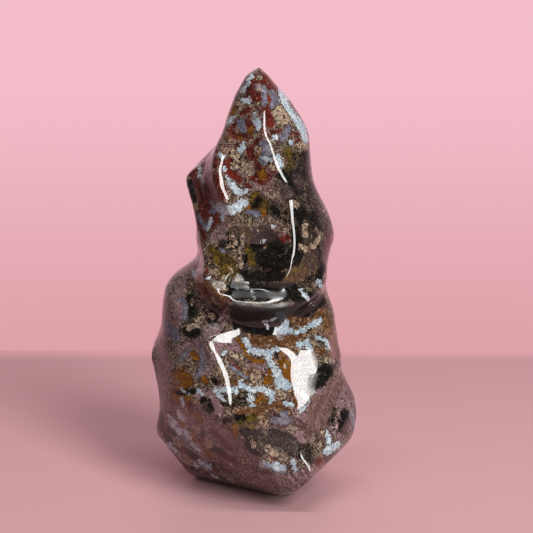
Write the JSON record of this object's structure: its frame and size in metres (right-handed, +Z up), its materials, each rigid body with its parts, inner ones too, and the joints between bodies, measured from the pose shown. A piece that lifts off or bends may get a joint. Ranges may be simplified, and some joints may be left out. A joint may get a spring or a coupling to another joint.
{
  "type": "polished ocean jasper flame carving",
  "caption": "Free-standing polished stone carved as a slim twisting flame with a pointed tip, soft spiral ridges and a small flat foot to stand on.",
  "frame": {"origin": "middle of the stone's box, in the plane of its foot", "axes": "+Z up through the foot and the tip, -Y towards the front of the flame, +X to the flame's right side"},
  "size_m": [0.0684, 0.0566, 0.14],
  "materials": {
    "jasper": "mirror-polished orbicular chalcedony in brick red, ochre, mauve, pale blue and black-green, with cream orbs"
  },
  "bodies": {
    "root": {"flame": "jasper"}
  },
  "joints": []
}
